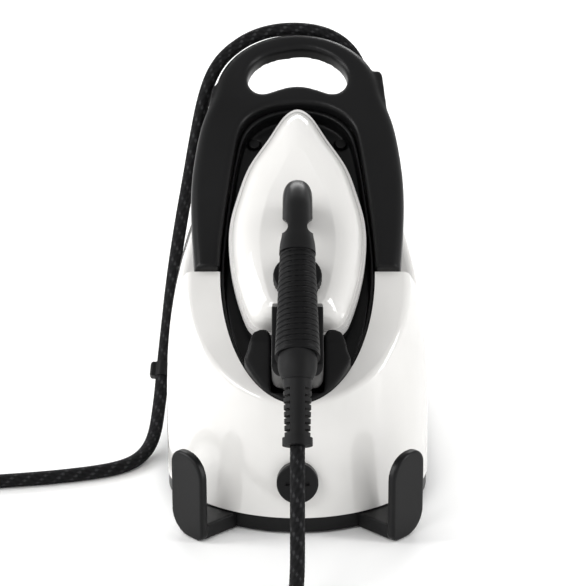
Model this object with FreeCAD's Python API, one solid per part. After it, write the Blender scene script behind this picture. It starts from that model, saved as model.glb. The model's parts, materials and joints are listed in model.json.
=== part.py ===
"""Steam generator iron: a wedge-shaped steam station with a lift-off iron, in millimetres.

The origin is at the middle of the station's footprint, on the floor. The front faces -Y and +Z is up.
The sloping deck that carries the iron has its own frame: x across, s up the slope from the lip of the
rest, and n out of the deck. Pieces on the slope are built in that frame and placed with on_deck().
"""
import FreeCAD, Part
import math
import os

os.makedirs("parts", exist_ok=True)
V = FreeCAD.Vector

# ---------------------------------------------------------------- driving dimensions
BODY_WIDTH = 206.0          # widest section of the housing
BODY_FRONT = -191.0         # front of the housing at its foot
BODY_REAR = 200.0           # rear of the water tank at its foot
WAIST_Y = -90.0             # where the plan is widest, at the foot
FRONT_LEAN = 0.16           # the front wall leans back by this much per unit of height
REAR_LEAN = 0.15            # the rear wall leans forward likewise
WAIST_LEAN = 0.25           # the widest section moves back likewise
STRAIGHT_HEIGHT = 80.0      # the side walls are upright to here
DOME_RISE = 180.0           # and then close in as an ellipse of this height
HOUSING_TOP = 197.0         # top deck of the housing, behind the frame
TOP_FALL = 7.0              # degrees that the top deck falls to the rear
WALL = 2.5                  # housing wall
EDGE_ROUND = 6.0            # rounding of the housing's top edges
GAP = 0.4                   # clearance between parts that are fitted together
MOVE_GAP = 0.8              # clearance round parts that lift or slide

BASE_BOTTOM = 2.0
BASE_TOP = 14.0
BASE_INSET = 1.0            # the base stands back from the housing's wall
BASE_FLOOR = 3.0
FOOT_RADIUS = 9.0
SPLIT_Y = 122.0             # the housing ends here and the tank begins
COVER_THICK = 3.0
SCREW_RADIUS = 2.0

DECK_ANGLE = 36.0
LIP_Y = -177.0
LIP_Z = 101.6
REST_HALF = 60.0            # half-width of the rest's opening
REST_HEEL = 120.0           # length of its rounded lower end
REST_TOP = 278.5            # upper end of the opening
TRAY_DEPTH = 14.0           # depth of the tray's floor below the deck
TRAY_THICK = 3.0
PAD_HEIGHT = 4.0            # silicone strips that carry the soleplate
HORN_HEIGHT = 18.0          # the cradle at the foot of the tray rises to this above the deck

FRAME_FACE = 8.0            # the frame stands this far out of the deck
FRAME_BACK = -20.0          # and reaches this far below it
LEG_END = 119.0             # lower end of the frame's legs
ARCH_CENTRE = 290.0
ARCH_HALF = 67.0
ARCH_RISE = 62.5
ARCH_FOOT = 283.0           # above here the frame is slimmer, as a bar to be gripped
ARCH_BACK = -7.0
EAR_TOPS = {-1: 301.0, 1: 315.0}    # tops of the ears that keep the hose in its channel, left and right
EAR_THICK = 7.0

HOOK_X = 83.7               # the two cord hooks beside the front
HOOK_Y = -194.5
HOOK_TURN = 46.0
HOOK_WIDTH = 34.0
HOOK_HEIGHT = 69.0
HOOK_THICK = 7.0
HOOK_ARM = 48.0

CAP_Z = 43.0                # drain cap on the front wall
CAP_RADIUS = 15.7
CAP_THICK = 8.0
DRAIN_BORE = 5.0
STEM_GAP = 0.06

BUTTON_X = 35.0             # the two buttons above the tray
BUTTON_S = 251.6
BUTTON_RADIUS = 4.5
BUTTON_TRAVEL = 1.5

TANK_FRONT = 127.0
TANK_BOTTOM = 16.0
TANK_WALL = 2.2
LID_HALF = 38.0
LID_FRONT = 136.0
LID_REAR = 168.0
LID_THICK = 3.0
LID_PIN_RADIUS = 1.5
VALVE_Y = 155.0
VALVE_RADIUS = 8.2

BOILER_Y = 5.0
BOILER_RADIUS = 55.0
BOILER_BOTTOM = 24.0
BOILER_TOP = 122.0
BOILER_WALL = 1.5

IRON_HEEL = 57.0            # heel and tip of the soleplate, along the slope
IRON_TIP = 272.4
IRON_HALF = 53.4
SOLE_THICK = 8.0
SKIRT_THICK = 8.0
BODY_INSET = 2.2
BODY_TOP = 30.0             # top of the iron's white body above the deck
BODY_WALL = 2.2
GRIP_AXIS = 79.0
GRIP_FRONT = 84.0
GRIP_END = -8.0
GRIP_HALF_FRONT = 13.0
GRIP_HALF_REAR = 16.5
GRIP_HEIGHT = 14.0          # half-height of the grip
GRIP_RIBS = 20
RIB_DEPTH = 1.0
HANDLE_HALF = 11.35
POST_FRONT = 161.5          # the handle's front post reaches this far up the slope
NECK_S = 107.0              # the two bites that pinch the neck
NECK_X = 14.2
NECK_RADIUS = 7.0
NECK_SLANT = 0.674          # they run aslant: this much down the slope per unit out of the deck
HEEL_HALF = 19.0
DIAL_S = 91.0
DIAL_RADIUS = 18.5
DIAL_BOTTOM = 31.0
DIAL_TOP = 38.0
COLLAR_RADIUS = 13.9
RELIEF_RADIUS = 10.4
RELIEF_LENGTH = 48.0
RELIEF_DROOP = 20.0         # degrees that the strain relief points below the slope
HOSE_RADIUS = 5.4
HOSE_GAP = 1.0

DECK = FreeCAD.Placement(V(0, LIP_Y, LIP_Z), FreeCAD.Rotation(V(1, 0, 0), DECK_ANGLE))
nodes = {}


# ---------------------------------------------------------------- helpers
def keep(name, shape):
    """Store a finished piece under its node name."""
    nodes[name] = shape
    return shape


def on_deck(shape):
    """Carry a shape from the deck's frame to the world's."""
    return shape.transformed(DECK.toMatrix())


def deck_point(x, s, n):
    return DECK.multVec(V(x, s, n))


def box(x0, x1, y0, y1, z0, z1):
    return Part.makeBox(x1 - x0, y1 - y0, z1 - z0, V(x0, y0, z0))


def rod(radius, start, end):
    start, end = V(*start), V(*end)
    return Part.makeCylinder(radius, (end - start).Length, start, end - start)


def ring(outer, inner, start, end):
    return rod(outer, start, end).cut(rod(inner, start, end))


def closed_spline(points):
    curve = Part.BSplineCurve()
    curve.interpolate([V(*p) for p in points], PeriodicFlag=True)
    return Part.Wire([curve.toShape()])


def open_spline(points):
    curve = Part.BSplineCurve()
    curve.interpolate([V(*p) for p in points])
    return curve.toShape()


def prism(wire, vector):
    return Part.Face(wire).extrude(V(*vector))


def polygon(points):
    return Part.makePolygon([V(*p) for p in points] + [V(*points[0])])


def soften(shape, radius, wanted):
    """Round the edges that wanted() picks, by as much of the radius as the shape allows."""
    edges = [edge for edge in shape.Edges if wanted(edge)]
    for share in (1.0, 0.7, 0.4):
        try:
            rounded = shape.makeFillet(radius * share, edges)
            if rounded.isValid() and rounded.Volume > 0:
                return rounded
        except Part.OCCError:
            continue
    print("left sharp:", len(edges), "edges at radius", radius)
    return shape


def route(points, radius, report=""):
    """A tube on straight runs joined by tangent arcs, each as large as its two runs allow."""
    points = [V(*p) for p in points]
    edges = []
    last = points[0]
    radii = []
    for before, corner, after in zip(points, points[1:], points[2:]):
        back, ahead = before - corner, after - corner
        turn = math.pi - back.getAngle(ahead)
        reach = 0.45 * min(back.Length, ahead.Length)
        radii.append(reach / math.tan(turn / 2))
        back.normalize()
        ahead.normalize()
        start, end = corner + back * reach, corner + ahead * reach
        middle = (back + ahead).normalize()
        top = corner + middle * (radii[-1] / math.cos(turn / 2) - radii[-1])
        edges.append(Part.LineSegment(last, start).toShape())
        edges.append(Part.Arc(start, top, end).toShape())
        last = end
    edges.append(Part.LineSegment(last, points[-1]).toShape())
    path = Part.Wire(edges)
    length = path.Length
    section = Part.Wire([Part.makeCircle(radius, points[0], points[1] - points[0])])
    tube = path.makePipeShell([section], True, True, 1)
    if report:
        print(report, "length", round(length, 1), "volume over section x length",
              round(tube.Volume / (math.pi * radius ** 2 * length), 4))
        print(report, "radii", [round(r) for r in radii])
    return tube


# ---------------------------------------------------------------- housing form
def half_width(z):
    rise = max(0.0, z - STRAIGHT_HEIGHT) / DOME_RISE
    return BODY_WIDTH / 2 * math.sqrt(1 - rise ** 2)


def plan(z, inset=0.0, level=None):
    """The egg-shaped plan of the housing at height z, drawn at the given level."""
    up = z - BASE_TOP
    waist = WAIST_Y + WAIST_LEAN * up
    front = waist - (BODY_FRONT + FRONT_LEAN * up) - inset
    rear = BODY_REAR - REAR_LEAN * up - waist - inset
    half = half_width(z) - inset
    points = []
    steps = 40
    for i in range(steps):
        a = 2 * math.pi * i / steps
        x, y = math.sin(a), -math.cos(a)
        if y > 0:
            power = 2.0 / 3.0
            x = math.copysign(abs(x) ** power, x)
            y = y ** power
        points.append((half * x, waist + (rear if y > 0 else front) * y, z if level is None else level))
    return closed_spline(points)


def housing_block(inset, bottom):
    """The housing's whole outer form, or the same form set in by a wall."""
    levels = [bottom, 45.0, STRAIGHT_HEIGHT, 115.0, 150.0, 185.0, 215.0]
    return Part.makeLoft([plan(z, inset) for z in levels], True, False)


def above_deck(drop):
    """What is cut away above the sloping deck: level with the lip, then down to the frame's seat."""
    big = 400.0
    low = box(-big, big, -big, LEG_END + 1, -drop, big)
    high = box(-big, big, LEG_END - drop, 2 * big, FRAME_BACK - drop, big)
    return on_deck(low.fuse(high))


def above_top(drop):
    block = box(-200, 200, -300, 300, 0, 300)
    block.rotate(V(0, 0, 0), V(1, 0, 0), -TOP_FALL)
    block.translate(V(0, 0, HOUSING_TOP - drop))
    return block


def rest_outline(gap):
    """The rest's opening in the deck's frame: a half ellipse below, closing to a flat arch above."""
    half, heel = REST_HALF - gap, REST_HEEL - gap
    side = []
    for step in range(8):
        a = math.pi / 2 * step / 8
        side.append((half * math.sin(a), REST_HEEL - heel * math.cos(a)))
    side += [(half, REST_HEEL), (half - 3, 168), (half - 11, 236), (half - 17.5, 259), (half - 34, 273.5)]
    right = [(x, s if s < 250 else s - gap, 0) for x, s in side]
    left = [(-x, s, 0) for x, s, _ in reversed(right[1:])]
    return closed_spline(right + [(0, REST_TOP - gap, 0)] + left)


def rest_prism(gap, low, high):
    shape = prism(rest_outline(gap), (0, 0, high - low))
    shape.translate(V(0, 0, low))
    return shape


# ---------------------------------------------------------------- the housing
def front_frame(z):
    """A frame on the front wall at height z: local Z points straight out of the wall."""
    y = BODY_FRONT + FRONT_LEAN * (z - BASE_TOP)
    lean = math.degrees(math.atan(FRONT_LEAN))
    return FreeCAD.Placement(V(0, y, z), FreeCAD.Rotation(V(1, 0, 0), 90 - lean))


def top_edge(edge):
    """The long edges round the sloping deck and the top deck, but not the step under the frame."""
    bounds = edge.BoundBox
    return edge.Length > 60 and bounds.ZMin > LIP_Z - 15 and bounds.ZLength > 3


FORM = soften(housing_block(0.0, BASE_TOP).cut(above_deck(0.0)).cut(above_top(0.0)), EDGE_ROUND, top_edge)
INNER = housing_block(WALL, BASE_TOP - 1).cut(above_deck(WALL)).cut(above_top(WALL))
HOUSING_SIDE = box(-200, 200, -300, SPLIT_Y, 0, 400)
CAP_FRAME = front_frame(CAP_Z)
HOSE_EXIT = (57.0, 92.0, 205.0)
OUTLET_BASE = 178.0
OUTLET_RADIUS = 11.0
GLAND_Y = 96.0
GLAND_Z = 34.0
GLAND_RADIUS = 7.5
GLAND_BORE = 3.6


def make_shell():
    shell = FORM.cut(INNER).common(HOUSING_SIDE)
    shell = shell.cut(on_deck(rest_prism(0.0, -60, 20)))
    port = rod(DRAIN_BORE + 4.0 + GAP, (0, 0, -20), (0, 0, 20)).transformed(CAP_FRAME.toMatrix())
    outlet = rod(OUTLET_RADIUS + GAP, (HOSE_EXIT[0], HOSE_EXIT[1], 150), HOSE_EXIT)
    gland = rod(GLAND_RADIUS + GAP, (0, GLAND_Y, GLAND_Z), (200, GLAND_Y, GLAND_Z))
    return shell.cut(port).cut(outlet).cut(gland)


def make_base():
    outer = prism(plan(BASE_TOP, BASE_INSET, BASE_BOTTOM), (0, 0, BASE_TOP - BASE_BOTTOM))
    pocket = prism(plan(BASE_TOP, BASE_INSET + 4.0, BASE_BOTTOM + BASE_FLOOR), (0, 0, 20))
    pocket = pocket.common(box(-200, 200, -300, SPLIT_Y - 5, 0, 100))
    base = outer.cut(pocket)
    for x, y in FEET:
        base = base.cut(rod(FOOT_RADIUS + GAP / 2, (x, y, 0), (x, y, BASE_BOTTOM + 1)))
    for x, y in SCREWS:
        base = base.cut(rod(SCREW_RADIUS + 0.2, (x, y, 0), (x, y, 30)))
        base = base.cut(rod(SCREW_RADIUS * 2 + 0.2, (x, y, 0), (x, y, BASE_BOTTOM + 1.5)))
    base = base.cut(rod(SOCKET_RADIUS, (0, VALVE_Y, BASE_BOTTOM + 3), (0, VALVE_Y, 30)))
    channel = box(-6, 6, SPLIT_Y - 6, VALVE_Y, BASE_BOTTOM + 3, BASE_TOP - 3)
    return base.cut(channel)


FEET = [(0.0, 0.0), (-62.0, -125.0), (62.0, -125.0), (-62.0, 150.0), (62.0, 150.0)]
SCREWS = [(-70.0, -60.0), (70.0, -60.0), (-70.0, 60.0), (70.0, 60.0), (0.0, -150.0)]
SOCKET_RADIUS = 11.0


def make_feet():
    return Part.makeCompound([rod(FOOT_RADIUS, (x, y, 0), (x, y, BASE_BOTTOM + 1)) for x, y in FEET])


def make_screws():
    """Screws from below: a pan head in its counterbore and a shank up into a boss."""
    screws = []
    for x, y in SCREWS:
        head = rod(SCREW_RADIUS * 2, (x, y, BASE_BOTTOM + 0.2), (x, y, BASE_BOTTOM + 1.5))
        screws.append(head.fuse(rod(SCREW_RADIUS, (x, y, BASE_BOTTOM + 1.5), (x, y, BASE_TOP + 4))))
    return Part.makeCompound(screws)


def make_bosses():
    """Moulded posts that the base screws bite into, standing on the base."""
    bosses = []
    for x, y in SCREWS:
        floor = BASE_BOTTOM + BASE_FLOOR
        bosses.append(ring(SCREW_RADIUS + 2.6, SCREW_RADIUS + 0.1, (x, y, floor), (x, y, BASE_TOP + 12)))
    return Part.makeCompound(bosses)


def make_rear_cover():
    front, back = SPLIT_Y + 0.2, SPLIT_Y + 0.2 + COVER_THICK
    cover = FORM.common(box(-200, 200, front, back, BASE_TOP + 0.2, 400))
    rib = box(-60, 60, front - 4, front, 60, 63).fuse(box(-60, 60, front - 4, front, 120, 123))
    cover = cover.fuse(rib)
    for x in (-30, -10, 10, 30):
        cover = cover.cut(box(x - 6, x + 6, front - 1, back + 1, 35, 38))
        cover = cover.cut(box(x - 6, x + 6, front - 1, back + 1, 43, 46))
    return cover


def make_frame():
    """The handle frame: two legs, a crossbar and the arch that is the carrying handle."""
    right = [(80, LEG_END), (83.6, 168), (84.0, 200), (81.0, 236), (74.5, 270)]
    arch = []
    for step in range(0, 19):
        a = math.pi * (step + 1) / 20
        arch.append((ARCH_HALF * math.cos(a), ARCH_CENTRE + ARCH_RISE * math.sin(a)))
    side = right + [(ARCH_HALF + 0.4, ARCH_CENTRE + 3)] + arch
    side += [(-x, s) for x, s in reversed(right + [(ARCH_HALF + 0.4, ARCH_CENTRE + 3)])]
    outline = open_spline([(x, s, 0) for x, s in side])
    foot = Part.LineSegment(V(-80, LEG_END, 0), V(80, LEG_END, 0)).toShape()
    frame = prism(Part.Wire([outline, foot]), (0, 0, FRAME_FACE - FRAME_BACK))
    frame.translate(V(0, 0, FRAME_BACK))
    behind = [(ARCH_FOOT, FRAME_BACK - 1), (ARCH_FOOT + 8, ARCH_BACK), (400, ARCH_BACK), (400, FRAME_BACK - 1)]
    behind = prism(polygon([(-100, s, n) for s, n in behind]), (200, 0, 0))
    frame = frame.cut(behind)
    frame = soften(frame, 8.0, lambda edge: edge.Length > 300)
    frame = soften(frame, 5.0, lambda edge: edge.BoundBox.ZLength < 0.1 and edge.Length > 150
                   and abs(edge.BoundBox.ZMin - ARCH_BACK) < 0.1)
    frame = frame.cut(rest_prism(0.0, -80, 40))
    rim = [edge for edge in frame.Edges
           if abs(edge.BoundBox.ZMin - FRAME_FACE) < 0.1 and edge.BoundBox.ZLength < 0.1
           and edge.BoundBox.XMax < REST_HALF + 1 and edge.BoundBox.XMin > -REST_HALF - 1]
    frame = soften(frame, 4.0, lambda edge: any(edge.isSame(other) for other in rim))
    slot = [(0, 335.0), (27, 327.0), (39.5, 310.5), (38.5, 296), (30.5, 289.5), (18.3, 292.5), (0, 297.2)]
    slot = [(x, s, FRAME_BACK - 5) for x, s in slot]
    slot += [(-x, s, n) for x, s, n in reversed(slot[1:-1])]
    frame = frame.cut(prism(closed_spline(slot), (0, 0, 60)))
    x0, x1, s0, s1 = SWITCH_BOX
    frame = frame.cut(box(x0 - GAP, x1 + GAP, s0 - GAP, s1 + GAP, FRAME_BACK - 1, -TRAY_DEPTH - TRAY_THICK + GAP))
    frame = soften(frame, 5.0, lambda edge: 150 < edge.Length < 260 and edge.BoundBox.ZLength < 0.1
                   and 35 < edge.BoundBox.XMax < 42)
    for side in (-1, 1):
        top = EAR_TOPS[side]
        ear = [(side * 61, 282, 0), (side * 72.6, 274, 0), (side * 69.4, top - 4, 0),
               (side * 66, top, 0), (side * 62, top - 1, 0)]
        ear = prism(polygon(ear), (0, 0, EAR_THICK))
        ear.translate(V(0, 0, FRAME_FACE - 4 - EAR_THICK))
        frame = frame.fuse(ear)
    return on_deck(frame.removeSplitter())


def in_tray(gap):
    """The space of the tray, from its floor to just under the deck, set in by a gap."""
    return rest_prism(gap, -TRAY_DEPTH - TRAY_THICK, -0.6)


def make_tray():
    """The black rest: a shallow dish, with a raised cradle at its foot for the iron's heel."""
    tray = in_tray(GAP).cut(rest_prism(GAP + TRAY_THICK, -TRAY_DEPTH, 20))
    half = HEEL_HALF + MOVE_GAP
    horn = [(half, 9), (half, 50), (half + 2.7, 55), (half + 8.2, 55.5), (half + 13.7, 53), (half + 16.2, 46),
            (half + 18.2, 38), (half + 21.2, 31), (half + 25.2, 33), (half + 30.2, 41), (REST_HALF, 30),
            (REST_HALF, -5), (0, -5), (0, 9)]
    rise = [(-5, 0), (8, 2), (44, HORN_HEIGHT), (60, HORN_HEIGHT), (60, -TRAY_DEPTH), (-5, -TRAY_DEPTH)]
    slope = prism(polygon([(-REST_HALF, s, n) for s, n in rise]), (2 * REST_HALF, 0, 0))
    for side in (-1, 1):
        points = [(side * x, s, -TRAY_DEPTH) for x, s in horn]
        block = prism(polygon(points), (0, 0, TRAY_DEPTH + HORN_HEIGHT + 1))
        block = soften(block, 5.0, lambda edge: edge.BoundBox.ZLength > 10 and edge.BoundBox.YMin > 49
                       and abs(edge.BoundBox.XMax) > half + 5)
        tray = tray.fuse(block.common(slope).common(rest_prism(GAP, -TRAY_DEPTH - 1, 30)))
    for x in (-BUTTON_X, BUTTON_X):
        tray = tray.cut(rod(BUTTON_RADIUS + 0.35, (x, BUTTON_S, -40), (x, BUTTON_S, 0)))
    return on_deck(tray.removeSplitter())


def make_pads():
    pads = []
    for x in (-28.0, 28.0):
        pad = box(x - 4, x + 4, 95, 195, -TRAY_DEPTH, -TRAY_DEPTH + PAD_HEIGHT)
        pads.append(soften(pad, 1.2, lambda edge: edge.BoundBox.ZMin > -TRAY_DEPTH + 1))
    return on_deck(Part.makeCompound(pads))


def make_hook(side):
    """One cord hook: an upright leaf-shaped paddle on an arm that grows out of the base."""
    half, top, foot = HOOK_WIDTH / 2, HOOK_HEIGHT, 0.6
    paddle = box(-half, half, 0, HOOK_THICK, foot, top)
    for outer, high, radius in ((True, True, 12.0), (False, True, 19.0), (True, False, 19.0), (False, False, 6.0)):
        x, z = (-half if outer else half), (top if high else foot)
        paddle = soften(paddle, radius, lambda edge: edge.BoundBox.XLength < 0.1 and edge.BoundBox.ZLength < 0.1
                        and abs(edge.CenterOfMass.x - x) < 0.1 and abs(edge.CenterOfMass.z - z) < 0.1)
    paddle = soften(paddle, 1.6, lambda edge: edge.BoundBox.YLength < 0.1)
    arm = box(-half + 5, half - 2, HOOK_THICK - 1, HOOK_ARM, 1.0, BASE_TOP - 1)
    hook = paddle.fuse(arm)
    hook.rotate(V(0, 0, 0), V(0, 0, 1), -HOOK_TURN)
    hook.translate(V(-HOOK_X, HOOK_Y, 0))
    if side > 0:
        hook = hook.mirror(V(0, 0, 0), V(1, 0, 0))
    return hook.cut(prism(plan(BASE_TOP, BASE_INSET, 0), (0, 0, 30))).removeSplitter()


# ---------------------------------------------------------------- drain cap
def make_drain_port():
    port = ring(DRAIN_BORE + 4.0, DRAIN_BORE, (0, 0, -16), (0, 0, 0.6))
    flange = ring(DRAIN_BORE + 8.0, DRAIN_BORE, (0, 0, -WALL - 4.5), (0, 0, -WALL - 1.5))
    return port.fuse(flange).transformed(CAP_FRAME.toMatrix())


def make_drain_cap():
    cap = rod(CAP_RADIUS, (0, 0, 1.2), (0, 0, 1.2 + CAP_THICK))
    cap = soften(cap, 1.5, lambda edge: edge.BoundBox.ZMin > CAP_THICK)
    cap = cap.cut(box(-9, 9, -1.5, 1.5, CAP_THICK - 1.3, CAP_THICK + 4))
    stem = rod(DRAIN_BORE - STEM_GAP, (0, 0, -9), (0, 0, 1.2))
    return cap.fuse(stem).transformed(CAP_FRAME.toMatrix())


# ---------------------------------------------------------------- buttons
def make_button(x):
    top = -TRAY_DEPTH + BUTTON_TRAVEL + 0.5
    cap = rod(BUTTON_RADIUS, (x, BUTTON_S, -TRAY_DEPTH - TRAY_THICK - 2), (x, BUTTON_S, top))
    cap = soften(cap, 0.8, lambda edge: edge.BoundBox.ZMin > top - 0.1)
    flange = rod(BUTTON_RADIUS + 1.6, (x, BUTTON_S, -TRAY_DEPTH - TRAY_THICK - 2),
                 (x, BUTTON_S, -TRAY_DEPTH - TRAY_THICK - 0.5))
    return on_deck(cap.fuse(flange))


SWITCH_BOX = (-48.0, 48.0, 238.0, 265.0)
SWITCH_DEPTH = 18.0


def make_switch_cover():
    x0, x1, s0, s1 = SWITCH_BOX
    top = -TRAY_DEPTH - TRAY_THICK - 0.2
    cover = box(x0, x1, s0, s1, top - SWITCH_DEPTH, top)
    cover = soften(cover, 5.0, lambda edge: edge.BoundBox.ZMin < top - SWITCH_DEPTH + 0.5)
    return on_deck(cover.cut(box(x0 + 2, x1 - 2, s0 + 2, s1 - 2, top - SWITCH_DEPTH + 2, top + 1)))


def make_button_board():
    x0, x1, s0, s1 = SWITCH_BOX
    low = -TRAY_DEPTH - TRAY_THICK - 12
    board = box(x0 + 3, x1 - 3, s0 + 3, s1 - 3, low, low + 1.6)
    for x in (-BUTTON_X, BUTTON_X):
        board = board.fuse(box(x - 3, x + 3, BUTTON_S - 3, BUTTON_S + 3, low + 1.6, low + 5))
        board = board.fuse(rod(1.6, (x, BUTTON_S, low + 5), (x, BUTTON_S, low + 7.8)))
    return on_deck(board)


# ---------------------------------------------------------------- boiler and its fittings
def boiler_form(shrink):
    form = rod(BOILER_RADIUS - shrink, (0, BOILER_Y, BOILER_BOTTOM + shrink), (0, BOILER_Y, BOILER_TOP - shrink))
    return soften(form, 12.0 - shrink, lambda edge: edge.Length > 300)


TOP_FITTINGS = {"safety_valve": (-24.0, -12.0), "pressure_switch": (-20.0, 26.0),
                "boiler_thermostat": (12.0, -20.0), "solenoid_valve": (26.0, 22.0)}
THREAD_RADIUS = 5.0


def make_boiler():
    boiler = boiler_form(0.0).cut(boiler_form(BOILER_WALL))
    for x, y in TOP_FITTINGS.values():
        boiler = boiler.cut(rod(THREAD_RADIUS + 0.1, (x, BOILER_Y + y, BOILER_TOP - 8), (x, BOILER_Y + y, BOILER_TOP + 5)))
    return boiler.cut(rod(FEED_RADIUS + 0.1, (0, BOILER_Y + 40, FEED_Z), (0, BOILER_Y + 70, FEED_Z)))


FEED_RADIUS = 3.0
FEED_Z = 60.0


def make_insulation():
    return ring(BOILER_RADIUS + 7, BOILER_RADIUS + GAP, (0, BOILER_Y, BOILER_BOTTOM + 42),
                (0, BOILER_Y, BOILER_TOP - 14))


def make_boiler_stand():
    """A ring under the boiler on three posts."""
    floor = BASE_BOTTOM + BASE_FLOOR
    stand = ring(50.0, 44.0, (0, BOILER_Y, BOILER_BOTTOM - 3), (0, BOILER_Y, BOILER_BOTTOM))
    for turn in (30, 150, 270):
        x = 47.0 * math.cos(math.radians(turn))
        y = BOILER_Y + 47.0 * math.sin(math.radians(turn))
        stand = stand.fuse(rod(4.0, (x, y, floor), (x, y, BOILER_BOTTOM - 2)))
    return stand.cut(boiler_form(0.0))


def make_boiler_heater():
    level = BOILER_BOTTOM - 4.0 - 0.1
    heater = Part.makeTorus(36.0, 4.0, V(0, BOILER_Y, level))
    return heater.cut(box(-8, 8, BOILER_Y + 20, BOILER_Y + 60, 0, BOILER_BOTTOM))


def fitting(name, parts):
    """A boiler fitting: a thread down into the boiler and stacked cylinders (radius, height) on it."""
    x, y = TOP_FITTINGS[name]
    y += BOILER_Y
    shape = rod(THREAD_RADIUS, (x, y, BOILER_TOP - 5), (x, y, BOILER_TOP))
    level = BOILER_TOP
    for radius, height in parts:
        shape = shape.fuse(rod(radius, (x, y, level), (x, y, level + height)))
        level += height
    return shape


def make_solenoid():
    x, y = TOP_FITTINGS["solenoid_valve"]
    y += BOILER_Y
    valve = fitting("solenoid_valve", [(8.0, 6.0)])
    body = box(x - 11, x + 11, y - 11, y + 11, BOILER_TOP + 6, BOILER_TOP + 26)
    coil = rod(9.0, (x, y, BOILER_TOP + 26), (x, y, BOILER_TOP + 40))
    return valve.fuse(body).fuse(coil)


def make_steam_pipe():
    """From the valve's side to the foot of the hose outlet."""
    x, y = TOP_FITTINGS["solenoid_valve"]
    start = V(x + 11, BOILER_Y + y, BOILER_TOP + 16)
    turn = V(HOSE_EXIT[0], BOILER_Y + y, BOILER_TOP + 16)
    low = V(HOSE_EXIT[0], HOSE_EXIT[1], BOILER_TOP + 16)
    end = V(HOSE_EXIT[0], HOSE_EXIT[1], OUTLET_BASE - 10)
    return route([start, turn, low, end], 3.5)


def make_hose_outlet():
    """The gland on the top deck that the steam hose rises from."""
    x, y, top = HOSE_EXIT
    outlet = rod(OUTLET_RADIUS, (x, y, OUTLET_BASE - 10), (x, y, OUTLET_BASE + 14))
    cone = Part.makeCone(OUTLET_RADIUS, HOSE_RADIUS + 1.5, top - OUTLET_BASE - 14, V(x, y, OUTLET_BASE + 14))
    return outlet.fuse(cone).cut(route(hose_points()[:3], HOSE_RADIUS))


def make_pump():
    pump = rod(13.0, (-58, 92, 36), (-6, 92, 36)).fuse(box(-46, -18, 80, 104, 24, 48))
    return pump.fuse(rod(4.0, (-6, 92, 36), (6, 92, 36))).fuse(rod(3.2, (-66, 92, 36), (-58, 92, 36)))


def make_pump_mounts():
    mounts = []
    for x in (-56.0, -12.0):
        mount = box(x - 4, x + 4, 76, 108, BASE_BOTTOM + BASE_FLOOR, 34)
        mounts.append(mount.cut(rod(13.1, (x - 10, 92, 36), (x + 10, 92, 36))))
    return Part.makeCompound(mounts)


def make_inlet_hose():
    return route([(0, SPLIT_Y - 5.2, 8.2), (8, 104, 8.4), (14, 96, 24), (10, 92, 36), (6.2, 92, 36)], 2.5)


def make_feed_hose():
    end_y = BOILER_Y + BOILER_RADIUS - BOILER_WALL
    return route([(-66.2, 92, 36), (-76, 92, 38), (-76, 86, 58), (-40, 84, 62), (0, 82, FEED_Z),
                  (0, end_y, FEED_Z)], 2.6)


def make_control_board():
    board = box(-40, 40, -128, -126.4, 20, 84)
    for x, z, w, h, d in ((-24, 34, 16, 20, 12), (4, 30, 22, 14, 16), (26, 60, 12, 12, 9), (-14, 66, 26, 8, 7)):
        board = board.fuse(box(x - w / 2, x + w / 2, -126.4, -126.4 + d, z - h / 2, z + h / 2))
    return board.fuse(box(-34, 34, -131, -126.4, BASE_BOTTOM + BASE_FLOOR, 24))


def make_mains_gland():
    """The gland for the mains lead, low on the right-hand wall."""
    y, z = GLAND_Y, GLAND_Z
    wall = FORM.common(Part.makeLine(V(0, y, z), V(200, y, z))).Length
    print("mains_gland: wall at x", round(wall, 2))
    tube = ring(GLAND_RADIUS, GLAND_BORE, (wall - 14, y, z), (wall + 5, y, z))
    return tube.fuse(ring(GLAND_RADIUS + 3, GLAND_BORE, (wall - WALL - 6, y, z), (wall - WALL - 3, y, z)))


# ---------------------------------------------------------------- water tank
TOP_FRAME = FreeCAD.Placement(V(0, 0, HOUSING_TOP), FreeCAD.Rotation(V(1, 0, 0), -TOP_FALL))
LID_PIN_Y = LID_FRONT - 1.5
LID_PIN_Z = 3.6
KNUCKLE_HALF = 18.0
POST_WIDTH = 5.0
GRIP_POCKET = (-30.0, 30.0, 168.0, 118.0, 138.0)


def on_top(shape):
    return shape.transformed(TOP_FRAME.toMatrix())


def make_tank():
    x0, x1, depth, z0, z1 = GRIP_POCKET
    pocket = box(x0, x1, depth, 300, z0, z1)
    guard = box(x0 - TANK_WALL, x1 + TANK_WALL, depth - TANK_WALL, 300, z0 - TANK_WALL, z1 + TANK_WALL)
    outer = FORM.common(box(-200, 200, TANK_FRONT, 300, TANK_BOTTOM, 400)).cut(pocket)
    space = INNER.common(box(-200, 200, TANK_FRONT + TANK_WALL, 300, TANK_BOTTOM + TANK_WALL, 400)).cut(guard)
    tank = outer.cut(space)
    mouth = on_top(box(-LID_HALF + 8, LID_HALF - 8, LID_FRONT + 5, LID_REAR - 5, -20, 20))
    tank = tank.cut(mouth).cut(rod(VALVE_RADIUS + 0.1, (0, VALVE_Y, 0), (0, VALVE_Y, 30)))
    for x in (-KNUCKLE_HALF - POST_WIDTH - 0.6, KNUCKLE_HALF + 0.6):
        post = box(x, x + POST_WIDTH, LID_PIN_Y - 3, LID_PIN_Y + 3, -1, LID_PIN_Z)
        post = post.fuse(rod(3, (x, LID_PIN_Y, LID_PIN_Z), (x + POST_WIDTH, LID_PIN_Y, LID_PIN_Z)))
        tank = tank.fuse(on_top(post))
    pin = rod(LID_PIN_RADIUS, (-60, LID_PIN_Y, LID_PIN_Z), (60, LID_PIN_Y, LID_PIN_Z))
    return tank.cut(on_top(pin.common(box(-30, 30, 100, 200, -10, 20))))


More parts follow.
